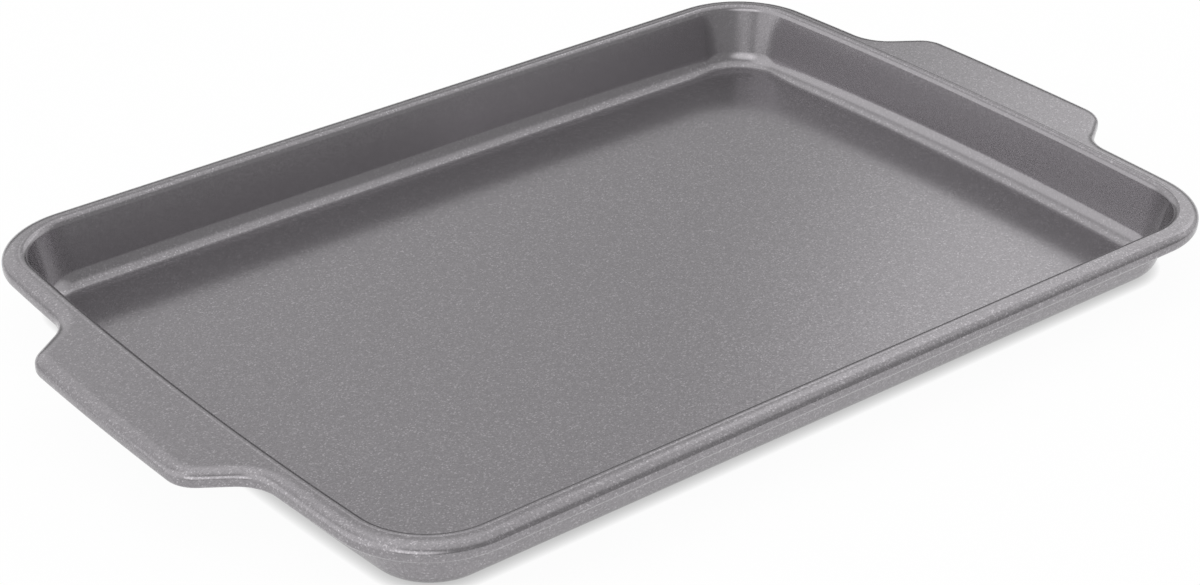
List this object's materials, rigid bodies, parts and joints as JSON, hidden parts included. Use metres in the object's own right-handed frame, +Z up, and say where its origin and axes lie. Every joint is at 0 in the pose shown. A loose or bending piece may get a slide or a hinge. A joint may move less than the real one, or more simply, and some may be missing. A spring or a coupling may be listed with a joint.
{
  "type": "sheet pan",
  "caption": "Shallow rectangular baking pan of coated sheet steel, with a flat flange that widens into a grip at each short end and an outer edge curled round a stiffening wire.",
  "frame": {"origin": "middle of the underside of the floor, on the surface that the pan stands on", "axes": "+X along the pan towards one grip, +Y across it, +Z up out of the well"},
  "size_m": [0.5042, 0.325, 0.0302],
  "materials": {
    "coated_steel": "satin grey non-stick coating with fine metallic flakes",
    "wire_steel": "bare drawn wire"
  },
  "bodies": {
    "root": {"pan_shell": "coated_steel", "rim_wire": "wire_steel"}
  },
  "joints": []
}
